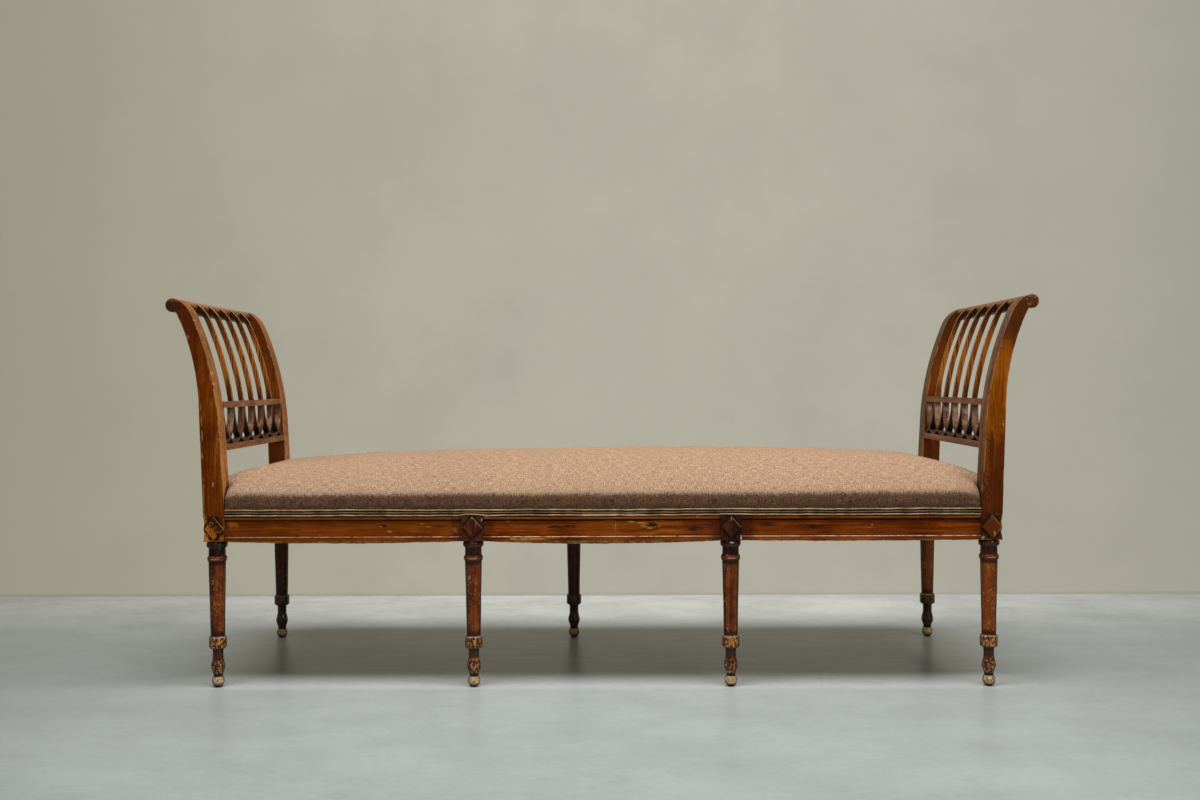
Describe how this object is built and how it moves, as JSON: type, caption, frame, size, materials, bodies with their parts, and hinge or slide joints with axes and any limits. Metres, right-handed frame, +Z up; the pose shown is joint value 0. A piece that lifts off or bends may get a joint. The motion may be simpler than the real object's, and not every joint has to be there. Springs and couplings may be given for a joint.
{
  "type": "recamier",
  "caption": "Long backless upholstered bench with two outward-curving open ends of slats over interlaced hoops, on turned tapering legs.",
  "frame": {"origin": "on the floor, under the middle of the whole object", "axes": "+X along the bench to the viewer's right, -Y towards the front, +Z up"},
  "size_m": [1.9876, 0.588, 0.8957],
  "materials": {
    "show_wood": "old glossy varnish over red-brown stained wood",
    "dark_wood": "old glossy varnish, darkened, over turned and carved wood",
    "panel_wood": "worn satin varnish over red-brown stained wood",
    "bare_wood": "bare sawn softwood, aged",
    "jute": "coarse jute weave",
    "stuffing": "wadding",
    "cover_cloth": "mottled linen-like plain weave",
    "edging_cord": "covered cord edging"
  },
  "bodies": {
    "root": {"post_front_left": "show_wood", "post_front_right": "show_wood", "post_rear_left": "show_wood", "post_rear_right": "show_wood", "block_front_left": "dark_wood", "block_front_right": "dark_wood", "block_rear": "dark_wood", "rail_front_left": "show_wood", "rail_front_middle": "show_wood", "rail_front_right": "show_wood", "rail_rear_left": "show_wood", "rail_rear_right": "show_wood", "end_rail_left": "show_wood", "end_rail_right": "show_wood", "cross_rail_left": "bare_wood", "cross_rail_right": "bare_wood", "corner_blocks": "bare_wood", "webbing_long": "jute", "webbing_cross": "jute", "hessian": "jute", "seat_pad": "stuffing", "seat_cover": "cover_cloth", "edging": "edging_cord", "leg_front_1": "dark_wood", "leg_front_2": "dark_wood", "leg_front_3": "dark_wood", "leg_front_4": "dark_wood", "leg_rear_1": "dark_wood", "leg_rear_2": "dark_wood", "leg_rear_3": "dark_wood", "top_roll_left": "panel_wood", "top_roll_right": "panel_wood", "mid_rail_left": "panel_wood", "mid_rail_right": "panel_wood", "lower_rail_left": "panel_wood", "lower_rail_right": "panel_wood", "slat_left_1": "panel_wood", "slat_left_2": "panel_wood", "slat_left_3": "panel_wood", "slat_left_4": "panel_wood", "slat_left_5": "panel_wood", "slat_right_1": "panel_wood", "slat_right_2": "panel_wood", "slat_right_3": "panel_wood", "slat_right_4": "panel_wood", "slat_right_5": "panel_wood", "hoop_left_1": "panel_wood", "hoop_left_2": "panel_wood", "hoop_left_3": "panel_wood", "hoop_left_4": "panel_wood", "hoop_left_5": "panel_wood", "hoop_left_6": "panel_wood", "hoop_left_7": "panel_wood", "hoop_right_1": "panel_wood", "hoop_right_2": "panel_wood", "hoop_right_3": "panel_wood", "hoop_right_4": "panel_wood", "hoop_right_5": "panel_wood", "hoop_right_6": "panel_wood", "hoop_right_7": "panel_wood"}
  },
  "joints": []
}
